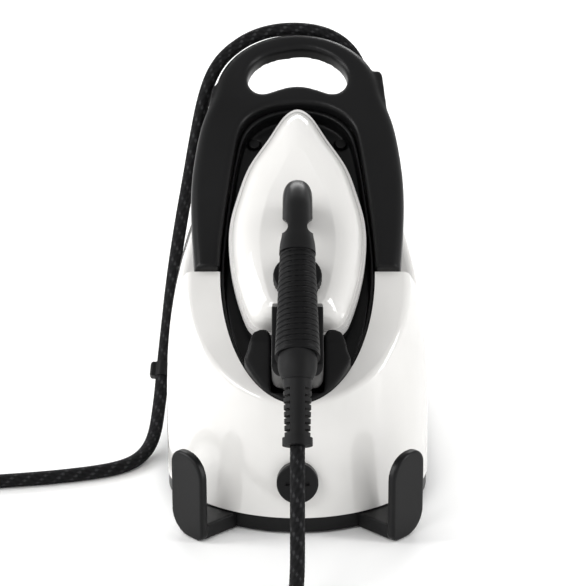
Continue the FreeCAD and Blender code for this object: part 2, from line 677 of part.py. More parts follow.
def make_lid_pin():
    end = KNUCKLE_HALF + POST_WIDTH + 0.6
    return on_top(rod(LID_PIN_RADIUS, (-end, LID_PIN_Y, LID_PIN_Z), (end, LID_PIN_Y, LID_PIN_Z)))


def make_lid():
    lid = box(-LID_HALF, LID_HALF, LID_FRONT + 2, LID_REAR, GAP, GAP + LID_THICK)
    lid = soften(lid, 7.0, lambda edge: edge.BoundBox.ZLength > 2 and edge.BoundBox.YMin > LID_REAR - 1)
    lid = soften(lid, 1.0, lambda edge: edge.BoundBox.ZMin > GAP + LID_THICK - 0.1)
    tab = box(-9, 9, LID_REAR - 1, LID_REAR + 4, GAP, GAP + 2)
    rim = box(-LID_HALF + 9, LID_HALF - 9, LID_FRONT + 6, LID_REAR - 7.5, -4, GAP)
    rim = rim.cut(box(-LID_HALF + 11, LID_HALF - 11, LID_FRONT + 8, LID_REAR - 9.5, -5, GAP))
    barrel = rod(3.1, (-KNUCKLE_HALF, LID_PIN_Y, LID_PIN_Z), (KNUCKLE_HALF, LID_PIN_Y, LID_PIN_Z))
    web = box(-KNUCKLE_HALF, KNUCKLE_HALF, LID_PIN_Y, LID_FRONT + 3, GAP + 0.4, GAP + LID_THICK)
    lid = lid.fuse(tab).fuse(rim).fuse(barrel).fuse(web)
    bore = rod(LID_PIN_RADIUS + 0.06, (-60, LID_PIN_Y, LID_PIN_Z), (60, LID_PIN_Y, LID_PIN_Z))
    return on_top(lid.cut(bore))


def make_tank_valve():
    stem = rod(VALVE_RADIUS, (0, VALVE_Y, BASE_BOTTOM + BASE_FLOOR + 4), (0, VALVE_Y, TANK_BOTTOM + TANK_WALL + 2))
    flange = rod(VALVE_RADIUS + 4, (0, VALVE_Y, TANK_BOTTOM + TANK_WALL), (0, VALVE_Y, TANK_BOTTOM + TANK_WALL + 2))
    return stem.fuse(flange).cut(rod(3.0, (0, VALVE_Y, 0), (0, VALVE_Y, 40)))


def make_tank_socket():
    return ring(SOCKET_RADIUS - 0.1, VALVE_RADIUS + GAP, (0, VALVE_Y, BASE_BOTTOM + BASE_FLOOR), (0, VALVE_Y, BASE_TOP))


def make_tank_seal():
    return ring(SOCKET_RADIUS + 2.5, VALVE_RADIUS + GAP, (0, VALVE_Y, BASE_TOP), (0, VALVE_Y, BASE_TOP + 1.4))


# ---------------------------------------------------------------- the iron
SOLE_BOTTOM = -TRAY_DEPTH + PAD_HEIGHT
SOLE_TOP = SOLE_BOTTOM + SOLE_THICK
SKIRT_TOP = SOLE_TOP + SKIRT_THICK
# Half the outline of a soleplate: (share of its length from the heel, share of its half-width).
SOLE_SHAPE = [(0.0, 0.0), (0.001, 0.25), (0.006, 0.5), (0.0186, 0.618), (0.081, 0.768), (0.183, 0.886),
              (0.286, 0.965), (0.39, 1.0), (0.497, 0.975), (0.6035, 0.88), (0.738, 0.711), (0.868, 0.42),
              (0.94, 0.268), (0.992, 0.09), (1.0, 0.0)]


def sole_wire(half, heel, tip, level):
    right = [(half * w, heel + (tip - heel) * f, level) for f, w in SOLE_SHAPE]
    left = [(-x, s, n) for x, s, n in reversed(right[1:-1])]
    return closed_spline(right + left)


def sole_prism(inset, low, high):
    wire = sole_wire(IRON_HALF - inset, IRON_HEEL + inset, IRON_TIP - 1.6 * inset, low)
    return prism(wire, (0, 0, high - low))


def body_form(shrink, bottom):
    """The iron's white body: outlines that close in from the skirt to the handle's deck."""
    rise = BODY_TOP - SKIRT_TOP
    tops = [(0.0, 0.0, 0.0, 0.0), (0.33, 1.6, 1.0, 5.0), (0.66, 7.0, 3.0, 17.0), (0.9, 15.5, 6.0, 36.0),
            (1.0, 22.0, 9.0, 52.0)]
    wires = []
    for share, side, heel, tip in tops:
        level = SKIRT_TOP + rise * share
        if share == 0.0:
            level = bottom
        elif share == 1.0:
            level -= shrink
        wires.append(sole_wire(IRON_HALF - BODY_INSET - side - shrink, IRON_HEEL + BODY_INSET + heel + shrink,
                               IRON_TIP - 1.6 * BODY_INSET - tip - 1.6 * shrink, level))
    return Part.makeLoft(wires, True, False)


COVER_SCREWS = (150.0, 205.0)
CHAMBER_THICK = 3.0


def make_soleplate():
    sole = soften(sole_prism(0.4, SOLE_BOTTOM, SOLE_TOP), 1.5,
                  lambda edge: edge.Length > 300 and edge.BoundBox.ZMin < SOLE_BOTTOM + 0.1)
    for s, half in ((235, 7), (212, 16), (186, 24), (158, 29), (128, 30), (100, 27)):
        for x in (-half, half):
            sole = sole.cut(rod(1.4, (x, s, SOLE_BOTTOM - 1), (x, s, SOLE_TOP + 1)))
    for s in COVER_SCREWS:
        sole = sole.cut(rod(SCREW_RADIUS + 0.05, (0, s, SOLE_TOP - 5), (0, s, SOLE_TOP + 1)))
    return on_deck(sole)


def make_chamber_cover():
    wire = sole_wire(IRON_HALF * 0.6, IRON_HEEL + 22, IRON_TIP - 28, SOLE_TOP)
    cover = prism(wire, (0, 0, CHAMBER_THICK))
    for s in COVER_SCREWS:
        cover = cover.cut(rod(SCREW_RADIUS + 0.2, (0, s, SOLE_TOP - 1), (0, s, SOLE_TOP + 4)))
    return on_deck(cover)


def make_iron_heater():
    """A hairpin element on top of the soleplate, round the steam chamber."""
    level = SOLE_TOP + 3.4
    radius = 39.0
    bend = Part.makeTorus(radius, 3.3, V(0, 110, level)).common(box(-60, 60, 40, 110, -20, 40))
    shape = bend
    for x in (-radius, radius):
        shape = shape.fuse(rod(3.3, (x, 110, level), (x * 0.93, 165, level)))
    return on_deck(shape.cut(sole_prism(0, SOLE_BOTTOM, SOLE_TOP)))


def make_skirt():
    return on_deck(sole_prism(0.0, SOLE_TOP, SKIRT_TOP).cut(sole_prism(4.5, SOLE_TOP - 1, SKIRT_TOP + 1)))


def make_iron_body():
    body = body_form(0.0, SKIRT_TOP).cut(body_form(BODY_WALL, SKIRT_TOP - 0.01))
    body = body.cut(rod(SPINDLE_RADIUS + 0.06, (0, DIAL_S, 0), (0, DIAL_S, 60)))
    body = body.cut(rod(SCREW_RADIUS + 0.2, (0, POST_SCREW_S, 0), (0, POST_SCREW_S, 60)))
    return on_deck(body)


SPINDLE_RADIUS = 3.0
POST_SCREW_S = 150.0


def make_dial():
    dial = rod(DIAL_RADIUS, (0, DIAL_S, DIAL_BOTTOM), (0, DIAL_S, DIAL_TOP))
    dial = soften(dial, 1.5, lambda edge: edge.BoundBox.ZMin > DIAL_TOP - 0.1)
    for step in range(36):
        a = 2 * math.pi * step / 36
        x, s = (DIAL_RADIUS + 0.5) * math.cos(a), DIAL_S + (DIAL_RADIUS + 0.5) * math.sin(a)
        dial = dial.cut(rod(1.0, (x, s, DIAL_BOTTOM - 1), (x, s, DIAL_TOP + 1)))
    spindle = rod(SPINDLE_RADIUS, (0, DIAL_S, SOLE_TOP + 12.4), (0, DIAL_S, DIAL_BOTTOM))
    return on_deck(dial.fuse(spindle))


def make_iron_thermostat():
    base = rod(12.0, (0, DIAL_S, SOLE_TOP + 3.1), (0, DIAL_S, SOLE_TOP + 8))
    return on_deck(base.fuse(rod(5.0, (0, DIAL_S, SOLE_TOP + 8), (0, DIAL_S, SOLE_TOP + 12))))


GRIP_TOP = GRIP_AXIS + GRIP_HEIGHT
CORE_HALF = 7.0
CORE_LOW = GRIP_AXIS - 7.0
CORE_HIGH = GRIP_AXIS + 7.0
TRIGGER_S = 121.0
TRIGGER_N = GRIP_AXIS - 11.0
TRIGGER_HALF = 5.5
PIN_RADIUS = 1.25


def make_handle():
    """The handle's hard core: a front post, the head, the pinched neck, and a bar through the grip."""
    top = GRIP_TOP
    loop = [(138, BODY_TOP - 8), (150, BODY_TOP - 8), (160, BODY_TOP - 6), (161, 48), (156.5, 69), (144, 84),
            (127, 90.5), (100, top - 1.5), (66, top - 2.5), (60, 78), (66, 66.5), (100, 65), (118, 61.5),
            (129, 54), (135, 42)]
    core = prism(closed_spline([(-HANDLE_HALF, s, n) for s, n in loop]), (2 * HANDLE_HALF, 0, 0))
    core = soften(core, 4.5, lambda edge: edge.Length > 150)
    core = core.cut(box(-50, 50, 0, 300, -20, BODY_TOP)).cut(box(-50, 50, -50, GRIP_FRONT, 0, 200))
    centre = POST_FRONT - HANDLE_HALF
    head = box(-HANDLE_HALF, HANDLE_HALF, 60, centre, 0, 120)
    core = core.common(head.fuse(rod(HANDLE_HALF, (0, centre, 0), (0, centre, 120))))
    for side in (-1, 1):
        x = side * NECK_X
        core = core.cut(rod(NECK_RADIUS, (x, NECK_S + NECK_SLANT * 40, GRIP_AXIS - 40),
                            (x, NECK_S - NECK_SLANT * 40, GRIP_AXIS + 40)))
    bar = box(-CORE_HALF, CORE_HALF, GRIP_END, GRIP_FRONT + 1, CORE_LOW, CORE_HIGH)
    core = core.fuse(bar)
    core = core.cut(box(-TRIGGER_HALF - 0.5, TRIGGER_HALF + 0.5, 86, 128, 40, TRIGGER_N + 5.5))
    core = core.cut(box(-4.2, 4.2, 91, 107, TRIGGER_N + 4, TRIGGER_N + 13.5))
    core = core.cut(rod(PIN_RADIUS, (-30, TRIGGER_S, TRIGGER_N), (30, TRIGGER_S, TRIGGER_N)))
    core = core.cut(rod(3.2, (0, GRIP_END - 1, GRIP_AXIS), (0, 80, GRIP_AXIS)))
    core = core.cut(rod(SCREW_RADIUS + 0.05, (0, POST_SCREW_S, 0), (0, POST_SCREW_S, BODY_TOP + 14)))
    return on_deck(core.removeSplitter())


def make_trigger():
    hub = rod(3.6, (-TRIGGER_HALF, TRIGGER_S, TRIGGER_N), (TRIGGER_HALF, TRIGGER_S, TRIGGER_N))
    profile = [(TRIGGER_S, TRIGGER_N + 2.5), (91, TRIGGER_N + 0.5), (89, TRIGGER_N - 5), (100, TRIGGER_N - 8),
               (114, TRIGGER_N - 7.5), (TRIGGER_S + 2, TRIGGER_N - 3)]
    lever = prism(polygon([(-TRIGGER_HALF, s, n) for s, n in profile]), (2 * TRIGGER_HALF, 0, 0))
    trigger = hub.fuse(lever)
    bore = rod(PIN_RADIUS + 0.06, (-30, TRIGGER_S, TRIGGER_N), (30, TRIGGER_S, TRIGGER_N))
    return on_deck(trigger.cut(bore))


def make_trigger_pin():
    end = HANDLE_HALF - 2.5
    return on_deck(rod(PIN_RADIUS, (-end, TRIGGER_S, TRIGGER_N), (end, TRIGGER_S, TRIGGER_N)))


def make_trigger_switch():
    body = box(-4, 4, 91.2, 106.8, TRIGGER_N + 6.8, TRIGGER_N + 13.3)
    return on_deck(body.fuse(rod(1.2, (0, 95, TRIGGER_N + 5.4), (0, 95, TRIGGER_N + 6.8))))


def grip_section(s, extra):
    """An upright oval across the grip at s."""
    share = (GRIP_FRONT - s) / (GRIP_FRONT - GRIP_END)
    half = GRIP_HALF_FRONT + (GRIP_HALF_REAR - GRIP_HALF_FRONT) * share + extra
    height = GRIP_HEIGHT + extra
    major, minor, across = (half, height, True) if half > height else (height, half, False)
    ellipse = Part.Ellipse(V(0, 0, 0), major, minor)
    wire = Part.Wire([ellipse.toShape()])
    if not across:
        wire.rotate(V(0, 0, 0), V(0, 0, 1), 90)
    wire.rotate(V(0, 0, 0), V(1, 0, 0), 90)
    wire.translate(V(0, s, GRIP_AXIS))
    return wire


def make_grip():
    """The ribbed rubber sleeve: rings with narrow grooves between them."""
    length = GRIP_FRONT - 0.2 - GRIP_END
    pitch = length / GRIP_RIBS
    blank = Part.makeLoft([grip_section(GRIP_FRONT - 0.2, 0.0), grip_section(GRIP_END, 0.0)], True, False)
    grip = blank
    for rib in range(1, GRIP_RIBS):
        s = GRIP_END + rib * pitch
        slab = box(-40, 40, s - 0.9, s + 0.9, 0, 150)
        inner = Part.makeLoft([grip_section(s + 1, -RIB_DEPTH), grip_section(s - 1, -RIB_DEPTH)], True, False)
        grip = grip.cut(slab.cut(inner))
    return on_deck(grip.cut(box(-CORE_HALF, CORE_HALF, GRIP_END - 1, GRIP_FRONT + 1, CORE_LOW, CORE_HIGH)))


def make_heel():
    """The handle's rear foot, which also stands the iron on its heel."""
    under = GRIP_AXIS - GRIP_HEIGHT - 0.5
    profile = [(66, 10), (69.5, BODY_TOP + 1), (45, under), (GRIP_END + 3, under), (GRIP_END - 1, under - 10),
               (3, 18), (15, -3), (IRON_HEEL - 0.5, -3)]
    heel = prism(polygon([(-HEEL_HALF, s, n) for s, n in profile]), (2 * HEEL_HALF, 0, 0))
    heel = soften(heel, 7.0, lambda edge: edge.BoundBox.XLength < 0.1 and edge.BoundBox.YMax < 16.5
                  and edge.BoundBox.ZLength > 12)
    heel = heel.cut(body_form(0.0, SKIRT_TOP)).cut(sole_prism(0.0, SOLE_BOTTOM, SKIRT_TOP))
    solids = sorted(heel.Solids, key=lambda solid: -solid.Volume)
    return on_deck(solids[0])


RELIEF_START = (0.0, GRIP_END - 18.0, GRIP_AXIS - 1.0)


def relief_frame():
    """Local Z points along the strain relief, away from the handle."""
    return FreeCAD.Placement(V(*RELIEF_START), FreeCAD.Rotation(V(1, 0, 0), 90 + RELIEF_DROOP))


def make_collar():
    rear = V(*RELIEF_START)
    front = Part.Wire([Part.makeCircle(COLLAR_RADIUS, V(0, GRIP_END - 0.2, GRIP_AXIS), V(0, -1, 0))])
    middle = Part.Wire([Part.makeCircle(COLLAR_RADIUS, V(0, GRIP_END - 10, GRIP_AXIS - 0.2), V(0, -1, -0.08))])
    direction = relief_frame().Rotation.multVec(V(0, 0, 1))
    back = Part.Wire([Part.makeCircle(RELIEF_RADIUS + 0.6, rear, direction)])
    collar = Part.makeLoft([front, middle, back], True, False)
    return on_deck(collar.cut(rod(3.2, (0, GRIP_END + 5, GRIP_AXIS), (0, GRIP_END - 12, GRIP_AXIS))))


def make_relief():
    """A tapered rubber sleeve with rows of slots on both sides and a flared end."""
    relief = Part.makeCone(RELIEF_RADIUS, RELIEF_RADIUS - 1.2, RELIEF_LENGTH - 5, V(0, 0, 0.1))
    relief = relief.fuse(rod(RELIEF_RADIUS + 0.5, (0, 0, RELIEF_LENGTH - 5.5), (0, 0, RELIEF_LENGTH)))
    for step in range(7):
        level = 7.0 + 5.0 * step
        for side in (-1, 1):
            x0, x1 = sorted((side * (RELIEF_RADIUS - 5.0), side * (RELIEF_RADIUS + 2)))
            relief = relief.cut(box(x0, x1, -20, 20, level, level + 2.0))
    return on_deck(relief.transformed(relief_frame().toMatrix()))


def make_steam_tube():
    return on_deck(rod(3.0, (0, GRIP_END - 9, GRIP_AXIS), (0, 78, GRIP_AXIS)))


def make_iron_screws():
    """One screw up into the handle's front post, and two that hold the chamber's cover down."""
    inside = BODY_TOP - BODY_WALL
    shank = rod(SCREW_RADIUS, (0, POST_SCREW_S, inside), (0, POST_SCREW_S, BODY_TOP + 12))
    screws = [shank.fuse(rod(SCREW_RADIUS * 1.9, (0, POST_SCREW_S, inside - 3), (0, POST_SCREW_S, inside)))]
    top = SOLE_TOP + CHAMBER_THICK
    for s in COVER_SCREWS:
        shank = rod(SCREW_RADIUS, (0, s, SOLE_TOP - 4.5), (0, s, top))
        screws.append(shank.fuse(rod(SCREW_RADIUS * 1.7, (0, s, top), (0, s, top + 2))))
    return on_deck(Part.makeCompound(screws))


# ---------------------------------------------------------------- the steam hose
HOSE_DROP = [(-77.3, 68.0, 266.0), (-83.2, 62.0, 237.0), (-89.6, 60.0, 201.0), (-97.6, 58.0, 158.0),
             (-104.8, 52.0, 111.0), (-108.8, 40.0, 75.0), (-111.1, 20.0, 53.6), (-113.3, -10.0, 28.7),
             (-116.5, -37.0, 10.5), (-125.0, -63.0, 5.8), (-140.0, -81.0, HOSE_RADIUS),
             (-165.0, -92.0, HOSE_RADIUS), (-205.0, -102.0, HOSE_RADIUS)]
CLIP_RUN = 6                # the clip sits on this run of the drop
CLIP_SHARE = 0.18           # and this far along it
CLIP_LENGTH = 13.0


def relief_end():
    return DECK.multVec(relief_frame().multVec(V(0, 0, RELIEF_LENGTH + GAP)))


def hose_points():
    """From the outlet over the arch, down the left side, round on the floor, and up to the iron."""
    arch = [(57.5, 319.0, -25.0), (47.0, 343.0, -8.0), (25.0, 357.3, 0.0), (-6.0, 360.8, 2.0),
            (-35.0, 353.8, 2.0), (-58.0, 335.3, 1.0), (-70.0, 314.5, 0.0)]
    floor = [(-256.0, -110.0), (-307.0, -134.0), (-343.0, -176.0), (-354.0, -229.0), (-345.0, -285.0),
             (-316.0, -334.0), (-272.0, -371.0), (-220.0, -396.0), (-163.0, -409.0), (-106.0, -411.0),
             (-56.0, -399.0), (-20.0, -375.0)]
    rise = [(-3.0, -342.0, 8.0), (0.0, -314.0, 27.0), (0.0, -300.0, 53.0), (0.0, -289.0, 82.0)]
    end = relief_end()
    points = [HOSE_EXIT, (58.0, 93.0, 240.0)]
    points += [tuple(deck_point(*p)) for p in arch]
    points += HOSE_DROP
    points += [(x, y, HOSE_RADIUS) for x, y in floor]
    points += rise
    points.append((end.x, end.y, end.z))
    return points


def make_clip():
    """A snap ring with a rounded tab on the hose's outer side."""
    start, end = V(*HOSE_DROP[CLIP_RUN]), V(*HOSE_DROP[CLIP_RUN + 1])
    turn = FreeCAD.Rotation(V(0, 0, 1), end - start)
    outward = turn.inverted().multVec(V(-1, 0, 0))
    place = FreeCAD.Placement(start + (end - start) * CLIP_SHARE, turn)
    half = CLIP_LENGTH / 2
    clip = rod(HOSE_RADIUS + 1.2, (0, 0, -half), (0, 0, half))
    tab = box(HOSE_RADIUS - 1, HOSE_RADIUS + 5, -3, 3, -half, half)
    tab = soften(tab, 2.5, lambda edge: edge.BoundBox.XMin > HOSE_RADIUS + 4)
    tab.rotate(V(0, 0, 0), V(0, 0, 1), math.degrees(math.atan2(outward.y, outward.x)))
    clip = clip.fuse(tab).cut(rod(HOSE_RADIUS + 0.3, (0, 0, -2 * half), (0, 0, 2 * half)))
    return clip.transformed(place.toMatrix())


# ---------------------------------------------------------------- the whole object
def build():
    hose = route(hose_points(), HOSE_RADIUS, "steam_hose")
    channel = route(hose_points()[:12], HOSE_RADIUS + HOSE_GAP)

    keep("base_plate", make_base())
    keep("rubber_feet", make_feet())
    keep("base_screws", make_screws())
    keep("screw_posts", make_bosses())
    keep("housing_shell", make_shell())
    keep("rear_cover", make_rear_cover())
    keep("handle_frame", make_frame().cut(channel))
    keep("rest_tray", make_tray())
    keep("rest_pads", make_pads())
    keep("cord_hook_left", make_hook(-1))
    keep("cord_hook_right", make_hook(1))
    keep("drain_port", make_drain_port())
    keep("drain_cap", make_drain_cap())
    keep("power_button", make_button(BUTTON_X))
    keep("steam_button", make_button(-BUTTON_X))
    keep("switch_cover", make_switch_cover())
    keep("button_board", make_button_board())
    keep("boiler", make_boiler())
    keep("boiler_insulation", make_insulation())
    keep("boiler_stand", make_boiler_stand())
    keep("boiler_heater", make_boiler_heater())
    keep("safety_valve", fitting("safety_valve", [(8.0, 5.0), (6.0, 12.0), (4.0, 5.0)]))
    keep("pressure_switch", fitting("pressure_switch", [(6.0, 5.0), (13.0, 9.0), (9.0, 8.0)]))
    keep("boiler_thermostat", fitting("boiler_thermostat", [(8.0, 4.0), (6.0, 5.0)]))
    keep("solenoid_valve", make_solenoid())
    keep("steam_pipe", make_steam_pipe())
    keep("hose_outlet", make_hose_outlet())
    keep("pump", make_pump())
    keep("pump_mounts", make_pump_mounts())
    keep("inlet_hose", make_inlet_hose())
    keep("feed_hose", make_feed_hose())
    keep("control_board", make_control_board())
    keep("mains_gland", make_mains_gland())
    keep("tank_socket", make_tank_socket())
    keep("tank_seal", make_tank_seal())
    keep("water_tank", make_tank())
    keep("tank_valve", make_tank_valve())
    keep("lid_pin", make_lid_pin())
    keep("tank_lid", make_lid())

    keep("soleplate", make_soleplate())
    keep("chamber_cover", make_chamber_cover())
    keep("iron_heater", make_iron_heater())
    keep("iron_skirt", make_skirt())
    keep("iron_body", make_iron_body())
    keep("iron_thermostat", make_iron_thermostat())
    keep("temperature_dial", make_dial())
    keep("handle_core", make_handle())
    keep("grip_sleeve", make_grip())
    keep("heel_housing", make_heel())
    keep("hose_collar", make_collar())
    keep("strain_relief", make_relief())
    keep("steam_tube", make_steam_tube())
    keep("steam_trigger", make_trigger())
    keep("trigger_pin", make_trigger_pin())
    keep("trigger_switch", make_trigger_switch())
    keep("iron_screws", make_iron_screws())
    keep("steam_hose", hose)
    keep("hose_clip", make_clip())


build()
for name, shape in nodes.items():
    if not shape.isValid() or not shape.Solids:
        print("check:", name, shape.isValid(), len(shape.Solids))
    shape.exportStep("parts/" + name + ".step")
print(len(nodes), "parts")
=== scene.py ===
"""Looks for the steam generator iron, in metres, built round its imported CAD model."""
import json
import math

import bpy
import numpy as np
from mathutils import Matrix, Vector


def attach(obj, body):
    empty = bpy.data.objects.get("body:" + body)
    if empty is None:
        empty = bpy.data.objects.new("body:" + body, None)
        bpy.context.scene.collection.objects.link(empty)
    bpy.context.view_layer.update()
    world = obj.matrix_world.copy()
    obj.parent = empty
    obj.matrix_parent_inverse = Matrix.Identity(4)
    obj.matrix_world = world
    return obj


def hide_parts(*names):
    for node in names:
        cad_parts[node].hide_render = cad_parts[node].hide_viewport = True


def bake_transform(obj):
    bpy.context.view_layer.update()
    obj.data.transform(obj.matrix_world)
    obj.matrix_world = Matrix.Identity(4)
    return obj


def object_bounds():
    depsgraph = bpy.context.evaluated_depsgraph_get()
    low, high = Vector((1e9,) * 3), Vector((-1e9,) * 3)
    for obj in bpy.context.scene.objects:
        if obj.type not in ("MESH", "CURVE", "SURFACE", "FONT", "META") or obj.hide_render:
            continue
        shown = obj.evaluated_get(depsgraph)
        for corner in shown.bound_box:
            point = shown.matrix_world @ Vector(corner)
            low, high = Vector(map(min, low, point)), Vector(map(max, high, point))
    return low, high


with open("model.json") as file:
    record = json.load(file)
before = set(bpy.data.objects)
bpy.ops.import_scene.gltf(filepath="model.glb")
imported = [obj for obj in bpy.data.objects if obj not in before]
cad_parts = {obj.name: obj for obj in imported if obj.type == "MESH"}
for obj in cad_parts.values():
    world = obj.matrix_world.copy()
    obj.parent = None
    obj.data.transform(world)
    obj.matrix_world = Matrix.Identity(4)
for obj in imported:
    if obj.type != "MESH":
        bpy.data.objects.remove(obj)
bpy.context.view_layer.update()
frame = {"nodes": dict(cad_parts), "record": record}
nodes = frame["nodes"]
scene = bpy.context.scene
MM = 0.001

# ---------------------------------------------------------------- the deck's frame
DECK_ANGLE = math.radians(36.0)
DECK = Matrix.Translation((0, -0.177, 0.1016)) @ Matrix.Rotation(DECK_ANGLE, 4, "X")


def deck(x, s, n):
    """A point of the sloping deck in millimetres, as a world point in metres."""
    return DECK @ (Vector((x, s, n)) * MM)


# ---------------------------------------------------------------- materials
def new_material(name, color, roughness, **values):
    """A material with its shader's plain sockets set; returns the pieces needed to add nodes."""
    material = bpy.data.materials.new(name)
    material.use_nodes = True
    tree = material.node_tree
    shader = tree.nodes["Principled BSDF"]
    shader.inputs["Base Color"].default_value = (*color, 1)
    shader.inputs["Roughness"].default_value = roughness
    for socket, value in values.items():
        shader.inputs[socket.replace("_", " ")].default_value = value
    return material, tree, shader


def object_noise(tree, scale, detail=4.0, stretch=(1, 1, 1)):
    coordinates = tree.nodes.new("ShaderNodeTexCoord")
    mapping = tree.nodes.new("ShaderNodeMapping")
    mapping.inputs["Scale"].default_value = stretch
    noise = tree.nodes.new("ShaderNodeTexNoise")
    noise.inputs["Scale"].default_value = scale
    noise.inputs["Detail"].default_value = detail
    tree.links.new(coordinates.outputs["Object"], mapping.inputs["Vector"])
    tree.links.new(mapping.outputs["Vector"], noise.inputs["Vector"])
    return noise


def vary_color(tree, shader, noise, dark, light):
    ramp = tree.nodes.new("ShaderNodeValToRGB")
    ramp.color_ramp.elements[0].position = 0.3
    ramp.color_ramp.elements[1].position = 0.7
    ramp.color_ramp.elements[0].color = (*dark, 1)
    ramp.color_ramp.elements[1].color = (*light, 1)
    tree.links.new(noise.outputs["Fac"], ramp.inputs["Fac"])
    tree.links.new(ramp.outputs["Color"], shader.inputs["Base Color"])


def vary_roughness(tree, shader, noise, low, high):
    span = tree.nodes.new("ShaderNodeMapRange")
    span.inputs["From Min"].default_value = 0.3
    span.inputs["From Max"].default_value = 0.7
    span.inputs["To Min"].default_value = low
    span.inputs["To Max"].default_value = high
    tree.links.new(noise.outputs["Fac"], span.inputs["Value"])
    tree.links.new(span.outputs["Result"], shader.inputs["Roughness"])


def add_bump(tree, shader, noise, distance, strength=0.5):
    bump = tree.nodes.new("ShaderNodeBump")
    bump.inputs["Distance"].default_value = distance
    bump.inputs["Strength"].default_value = strength
    tree.links.new(noise.outputs["Fac"], bump.inputs["Height"])
    tree.links.new(bump.outputs["Normal"], shader.inputs["Normal"])


def moulded(name, dark, light, rough, grain, bump, **values):
    """Moulded plastic or rubber: slight colour drift, uneven gloss and a fine grain."""
    material, tree, shader = new_material(name, light, rough[0], **values)
    broad = object_noise(tree, 14.0, 3.0)
    fine = object_noise(tree, grain, 5.0)
    vary_color(tree, shader, broad, dark, light)
    vary_roughness(tree, shader, fine, *rough)
    add_bump(tree, shader, fine, bump)
    return material


def metal(name, dark, light, rough, stretch=(1, 1, 1)):
    material, tree, shader = new_material(name, light, rough[0], Metallic=1.0)
    streaks = object_noise(tree, 180.0, 6.0, stretch)
    vary_color(tree, shader, streaks, dark, light)
    vary_roughness(tree, shader, streaks, *rough)
    add_bump(tree, shader, streaks, 0.00004)
    return material


def smoke(name):
    """Dark see-through plastic."""
    material, tree, shader = new_material(name, (0.10, 0.11, 0.12), 0.06, IOR=1.49)
    shader.inputs["Transmission Weight"].default_value = 0.55
    haze = object_noise(tree, 60.0, 3.0)
    vary_color(tree, shader, haze, (0.07, 0.075, 0.085), (0.13, 0.14, 0.15))
    vary_roughness(tree, shader, haze, 0.04, 0.12)
    return material


def braid(name):
    """Textile braid: black yarn with light flecks, read from the hose's own yarn pattern."""
    material, tree, shader = new_material(name, (0.004, 0.004, 0.0045), 0.7, Specular_IOR_Level=0.12)
    fleck = tree.nodes.new("ShaderNodeAttribute")
    fleck.attribute_name = "fleck"
    fibre = object_noise(tree, 2600.0, 3.0)
    ramp = tree.nodes.new("ShaderNodeValToRGB")
    ramp.color_ramp.elements[0].color = (0.003, 0.003, 0.0034, 1)
    ramp.color_ramp.elements[1].color = (0.06, 0.06, 0.063, 1)
    mix = tree.nodes.new("ShaderNodeMath")
    mix.operation = "MULTIPLY"
    tree.links.new(fleck.outputs["Fac"], mix.inputs[0])
    tree.links.new(fibre.outputs["Fac"], mix.inputs[1])
    tree.links.new(mix.outputs["Value"], ramp.inputs["Fac"])
    tree.links.new(ramp.outputs["Color"], shader.inputs["Base Color"])
    add_bump(tree, shader, fibre, 0.00012, 0.6)
    return material


MATERIALS = {
    "white_shell": moulded("white_shell", (0.70, 0.69, 0.67), (0.76, 0.75, 0.73),
                           (0.07, 0.11), 900, 0.00001, Coat_Weight=0.6, Coat_Roughness=0.04),
    "black_plastic": moulded("black_plastic", (0.004, 0.004, 0.0042), (0.007, 0.007, 0.0074),
                             (0.28, 0.38), 2400, 0.00003, Specular_IOR_Level=0.17),
    "black_rubber": moulded("black_rubber", (0.003, 0.003, 0.0032), (0.006, 0.006, 0.0064),
                            (0.50, 0.62), 1800, 0.00004, Specular_IOR_Level=0.16),
    "soft_grip": moulded("soft_grip", (0.002, 0.002, 0.0022), (0.004, 0.004, 0.0043),
                         (0.36, 0.46), 2200, 0.00004, Specular_IOR_Level=0.14),
    "silicone": moulded("silicone", (0.03, 0.03, 0.032), (0.045, 0.045, 0.048), (0.5, 0.6), 1500, 0.00003),
    "silver_plastic": moulded("silver_plastic", (0.60, 0.59, 0.58), (0.68, 0.67, 0.66),
                              (0.25, 0.32), 1200, 0.00001),
    "sole_metal": metal("sole_metal", (0.55, 0.55, 0.57), (0.70, 0.70, 0.72), (0.16, 0.26), (1, 8, 1)),
    "steel": metal("steel", (0.45, 0.45, 0.46), (0.60, 0.60, 0.61), (0.24, 0.36), (1, 1, 6)),
    "brass": metal("brass", (0.55, 0.40, 0.16), (0.72, 0.54, 0.24), (0.22, 0.34)),
    "heater_metal": metal("heater_metal", (0.20, 0.19, 0.18), (0.33, 0.32, 0.31), (0.35, 0.5)),
    "insulation": moulded("insulation", (0.55, 0.53, 0.47), (0.70, 0.68, 0.62), (0.85, 0.95), 700, 0.0004),
    "board": moulded("board", (0.02, 0.10, 0.04), (0.03, 0.15, 0.06), (0.4, 0.5), 1400, 0.00003),
    "smoke_tank": smoke("smoke_tank"),
    "pump_plastic": moulded("pump_plastic", (0.05, 0.07, 0.12), (0.07, 0.09, 0.15),
                            (0.35, 0.45), 1500, 0.00004),
    "hose_braid": braid("hose_braid"),
}
SLOT_OF = {row["node"]: row["material_slot"] for row in frame["record"]["subparts"]}

for node_name, node in nodes.items():
    node.data.materials.clear()
    node.data.materials.append(MATERIALS[SLOT_OF[node_name]])


# ---------------------------------------------------------------- mesh helpers
def new_object(name, verts, faces, slot):
    mesh = bpy.data.meshes.new(name)
    mesh.from_pydata([tuple(v) for v in verts], [], faces)
    mesh.validate()
    mesh.update()
    piece = bpy.data.objects.new(name, mesh)
    scene.collection.objects.link(piece)
    mesh.materials.append(MATERIALS[slot])
    return piece


def smooth_by_angle(piece, degrees):
    piece.data.shade_smooth()
    piece.data.set_sharp_from_angle(angle=math.radians(degrees))


